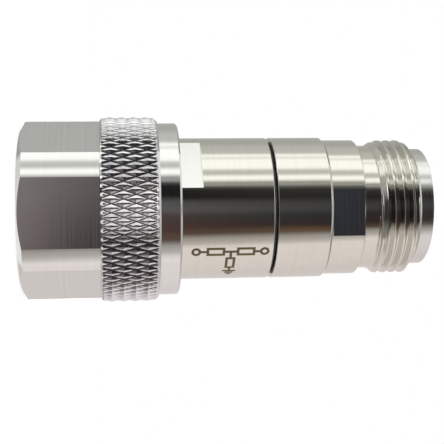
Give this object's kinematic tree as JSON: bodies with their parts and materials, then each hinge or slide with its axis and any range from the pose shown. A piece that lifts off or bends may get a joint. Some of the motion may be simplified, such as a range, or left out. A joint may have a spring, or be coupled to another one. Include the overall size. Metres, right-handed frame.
{
  "type": "rf attenuator",
  "caption": "Straight coaxial rf attenuator: plug with a knurled hexagon coupling nut, round metal body with wrench flats, and a threaded jack at the other end.",
  "frame": {"origin": "centre of the coupling nut's front face, on which the part stands", "axes": "+Z along the connector axis from plug to jack; the pictured side faces -Y"},
  "size_m": [0.0214, 0.0214, 0.0468],
  "materials": {
    "nut_steel": "fine turned",
    "body_steel": "fine turned",
    "spring_steel": "satin",
    "gold_plate": "gold plated",
    "clamp_brass": "satin",
    "terminal_metal": "printed metal",
    "insulator": "smooth",
    "ceramic": "matte",
    "resistor": "matte",
    "gasket_rubber": "matte",
    "seal_rubber": "matte"
  },
  "bodies": {
    "attenuator": {"face_gasket": "gasket_rubber", "plug_shell": "body_steel", "plug_pin": "gold_plate", "plug_bead": "insulator", "plug_bead_ring": "body_steel", "plug_housing": "body_steel", "joint_seal": "seal_rubber", "rear_sleeve": "body_steel", "upper_clamp": "clamp_brass", "lower_clamp": "clamp_brass", "attenuator_card": "ceramic", "resistor_film": "resistor", "card_terminals": "terminal_metal", "jack_bead_ring": "body_steel", "jack_bead": "insulator", "jack_socket": "gold_plate", "jack_seal": "seal_rubber", "jack_shell": "body_steel"},
    "ring": {"nut_ring": "spring_steel"},
    "nut": {"coupling_nut": "nut_steel"}
  },
  "joints": [
    {"name": "nut_float", "type": "slide", "parent": "attenuator", "child": "ring", "axis": [0, 0, -1], "range_m": [0, 0.0004]},
    {"name": "nut_spin", "type": "hinge", "parent": "ring", "child": "nut", "pos_m": [0, 0, 0], "axis": [0, 0, 1], "continuous": true}
  ]
}
